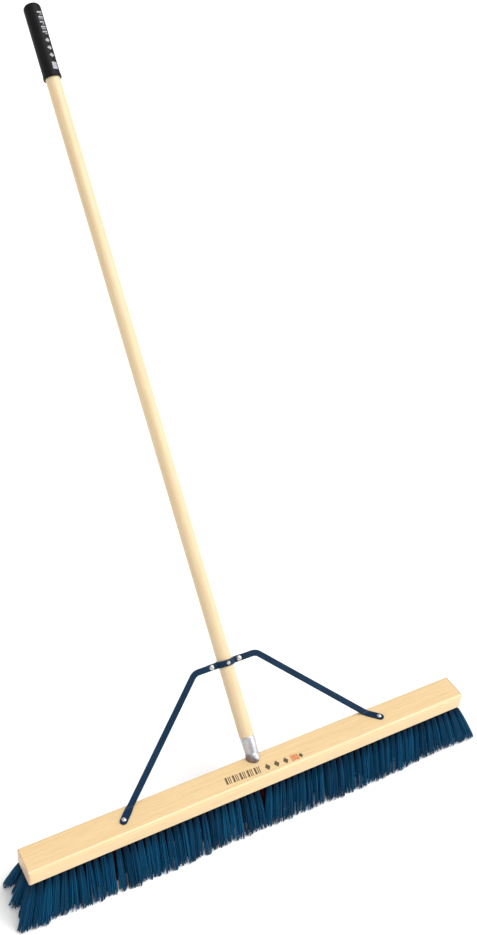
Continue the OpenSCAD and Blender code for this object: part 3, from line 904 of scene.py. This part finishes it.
def make_brace():
    right = right_half_of_bow()
    left = [(-u, v, -direction, half) for u, v, direction, half in reversed(right[1:])]
    bow = swept_bar("brace_bar", left + right, ENAMEL)
    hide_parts("brace_bow")
    reach = STRAP_HALF_WIDTH + SADDLE_GROWTH
    right_places = steps_between(0, reach - STRAP_CORNER, SADDLE_STEP)
    places = [-p for p in reversed(right_places)] + [0.0] + right_places
    past = [
        STRAP_CORNER * math.sin(math.pi / 2 * i / STRAP_CORNER_STEPS)
        for i in range(1, STRAP_CORNER_STEPS + 1)
    ]
    stations = [strap_corner_station(-1, reach, t) for t in reversed(past)]
    stations += [(p, CLAMP_HEIGHT, 0.0, BAR_HALF_WIDTH) for p in places]
    stations += [strap_corner_station(1, reach, t) for t in past]
    strap = swept_bar("strap_bar", stations, ENAMEL, facing=-1)
    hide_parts("clamp_strap")


# ---- Printed marks ---------------------------------------------------------------

PRINT_THICKNESS = 0.12 * MM
BAR_GROUPS = 5
LOZENGES = 3
# The block's stamp, in mm along and across it; a group has three bars of (place, width)
STAMP_TILT = math.radians(-3)
STAMP_LEVEL = -9 * MM
STAMP_BARS = ((-73, 3.8), (-67, 1.6), (-63.6, 1.6))
STAMP_GROUP_PITCH = 14.8
STAMP_LOW = -8
STAMP_HEIGHT = 15
STAMP_SLANT = 1.5
STAMP_LOZENGE_START = 14
STAMP_LOZENGE_PITCH = 19
STAMP_LOZENGE_MIDDLE = -0.5
# The grip's print, in mm down the grip from PRINT_TOP above its mount, and in mm round it
PRINT_ANGLE = math.radians(22)
PRINT_TOP = 66 * MM
PRINT_LOW = -5.5
PRINT_HEIGHT = 11
PRINT_SHORT_HEIGHT = 7
PRINT_SLANT = 1.0
PRINT_GROUP_PITCH = 10
PRINT_LOZENGE_START = 68
PRINT_LOZENGE_PITCH = 15


def patch(outline, steps, to_surface):
    """A thin slab over a four-cornered outline, laid on a surface by to_surface(a, b, lift)."""
    def corner_mix(p, q):
        (a0, b0), (a1, b1), (a2, b2), (a3, b3) = outline
        low = (a0 + (a1 - a0) * p, b0 + (b1 - b0) * p)
        high = (a3 + (a2 - a3) * p, b3 + (b2 - b3) * p)
        return (low[0] + (high[0] - low[0]) * q, low[1] + (high[1] - low[1]) * q)
    n = steps + 1
    vertices = []
    for lift in (PRINT_THICKNESS, -PRINT_THICKNESS):
        for i in range(n):
            for j in range(n):
                a, b = corner_mix(i / steps, j / steps)
                vertices.append(to_surface(a, b, lift))
    faces = []
    for i in range(steps):
        for j in range(steps):
            one = i * n + j
            faces.append((one, one + n, one + n + 1, one + 1))
            below = one + n * n
            faces.append((below, below + 1, below + n + 1, below + n))
    rim = [i * n for i in range(n)] + [steps * n + j for j in range(1, n)]
    rim += [i * n + steps for i in range(steps - 1, -1, -1)] + [j for j in range(steps - 1, 0, -1)]
    for k, first in enumerate(rim):
        second = rim[(k + 1) % len(rim)]
        faces.append((first, first + n * n, second + n * n, second))
    return vertices, faces


def printed_mark(name, outlines, to_surface, material, steps=6):
    vertices, faces = [], []
    for outline in outlines:
        more_vertices, more_faces = patch(outline, steps, to_surface)
        offset = len(vertices)
        vertices += more_vertices
        faces += [tuple(index + offset for index in face) for face in more_faces]
    return make_piece(name, vertices, faces, material, "broom")


def bar_mark(a, b, width, height, slant=0.0):
    return [(a, b), (a + width, b), (a + width + slant, b + height), (a + slant, b + height)]


def lozenge(a, b, width, height):
    return [(a, b - height / 2), (a + width / 2, b), (a, b + height / 2), (a - width / 2, b)]


def make_block_stamp():
    def on_block(a, b, lift):
        along, across = a * MM, b * MM
        return Vector((
            along * math.cos(STAMP_TILT) - across * math.sin(STAMP_TILT),
            STAMP_LEVEL + along * math.sin(STAMP_TILT) + across * math.cos(STAMP_TILT),
            BLOCK_TOP + lift))

    marks = []
    for i in range(BAR_GROUPS):
        for start, width in STAMP_BARS:
            marks.append(bar_mark(start + STAMP_GROUP_PITCH * i, STAMP_LOW, width, STAMP_HEIGHT, STAMP_SLANT))
    for i in range(LOZENGES):
        place = STAMP_LOZENGE_START + STAMP_LOZENGE_PITCH * i
        marks.append(lozenge(place, STAMP_LOZENGE_MIDDLE, width=11, height=STAMP_HEIGHT))
    accent = bar_mark(63, -7, width=16, height=13)
    dot = lozenge(84, STAMP_LOZENGE_MIDDLE, width=9, height=11)
    printed_mark("block_stamp", marks, on_block, STAMP_INK)
    printed_mark("block_stamp_accent", [accent], on_block, ACCENT_INK)
    printed_mark("block_stamp_dot", [dot], on_block, STAMP_INK)


def make_grip_print():
    top = height_on_handle(GRIP_PLACE) + PRINT_TOP

    def on_grip(a, b, lift):
        return on_handle(GRIP_RADIUS + lift, PRINT_ANGLE - b * MM / GRIP_RADIUS, top - a * MM)

    marks = []
    for i in range(BAR_GROUPS):
        start = PRINT_GROUP_PITCH * i
        height = PRINT_HEIGHT if i % 2 else PRINT_SHORT_HEIGHT
        marks.append(bar_mark(9 + start, PRINT_LOW, 3.0, PRINT_HEIGHT, PRINT_SLANT))
        marks.append(bar_mark(14 + start, PRINT_LOW, 1.4, height, PRINT_SLANT))
    for i in range(LOZENGES):
        marks.append(lozenge(PRINT_LOZENGE_START + PRINT_LOZENGE_PITCH * i, 0, width=9, height=PRINT_HEIGHT))
    marks.append(bar_mark(112, PRINT_LOW, width=14, height=PRINT_HEIGHT))
    printed_mark("grip_print", marks, on_grip, GRIP_INK, steps=8)


# ---- CAD pieces that keep their shape --------------------------------------------

KEPT = {
    "broom_block": BLOCK_WOOD,
    "handle_pole": POLE_WOOD,
    "tuft_roots": INNER_FIBRE,
    "tuft_staples": ZINC,
    "ferrule_nail": CAST_METAL,
    "clamp_bolts": ZINC,
    "clamp_washers": ZINC,
    "clamp_nuts": ZINC,
    "handle_screw": ZINC,
    "foot_screws": ZINC,
}


def dress_cad_pieces():
    for node, material in KEPT.items():
        for slot in frame["nodes"][node].material_slots:
            slot.material = material


# ---- Studio ----------------------------------------------------------------------

CAMERA_PLACE = Vector((-0.8054, -1.1018, 1.8258))
CAMERA_AIM = Vector((0.1404, 0.3873, 0.5000))
CAMERA_ROLL = math.radians(5.49)
CAMERA_LENS = 44.07
CAMERA_SENSOR = 36
CAMERA_REACH = 100
FLOOR_HALF = 40
WORLD_STRENGTH = 0.5
# Name, direction that it shines from, strength and softness in degrees
SUNS = (
    ("key_light", (0.40, -0.22, 0.89), 2.1, 45),
    ("front_light", (0.78, -0.55, 0.30), 0.9, 44),
    ("left_light", (-0.75, -0.55, 0.35), 0.35, 60),
)


def make_camera():
    data = bpy.data.cameras.new("camera")
    data.lens = CAMERA_LENS
    data.sensor_width = CAMERA_SENSOR
    data.clip_end = CAMERA_REACH
    camera = bpy.data.objects.new("camera", data)
    bpy.context.collection.objects.link(camera)
    level = (CAMERA_AIM - CAMERA_PLACE).to_track_quat("-Z", "Y").to_matrix()
    turned = level @ Matrix.Rotation(CAMERA_ROLL, 3, "Z")
    camera.matrix_world = Matrix.Translation(CAMERA_PLACE) @ turned.to_4x4()
    bpy.context.scene.camera = camera


def sun(name, direction, strength, softness_deg):
    """A sun that shines from a direction, with the soft edge of a large studio light."""
    data = bpy.data.lights.new(name, "SUN")
    data.energy = strength
    data.angle = math.radians(softness_deg)
    light = bpy.data.objects.new(name, data)
    light.rotation_mode = "QUATERNION"
    light.rotation_quaternion = Vector(direction).to_track_quat("Z", "Y")
    bpy.context.collection.objects.link(light)


def make_studio():
    corners = [(x * FLOOR_HALF, y * FLOOR_HALF, 0) for x, y in ((-1, -1), (1, -1), (1, 1), (-1, 1))]
    mesh = bpy.data.meshes.new("studio_floor")
    mesh.from_pydata(corners, [], [(0, 1, 2, 3)])
    mesh.materials.append(floor_material())
    floor = bpy.data.objects.new("studio_floor", mesh)
    bpy.context.collection.objects.link(floor)
    world = bpy.data.worlds.new("studio_world")
    world.use_nodes = True
    background = world.node_tree.nodes["Background"]
    background.inputs["Color"].default_value = (1, 1, 1, 1)
    background.inputs["Strength"].default_value = WORLD_STRENGTH
    bpy.context.scene.world = world
    for name, direction, strength, softness_deg in SUNS:
        sun(name, direction, strength, softness_deg)
    bpy.context.scene.view_settings.view_transform = "Standard"


make_camera()
make_bristles()
make_ferrule()
make_grip()
make_brace()
make_block_stamp()
make_grip_print()
dress_cad_pieces()
make_studio()

import json
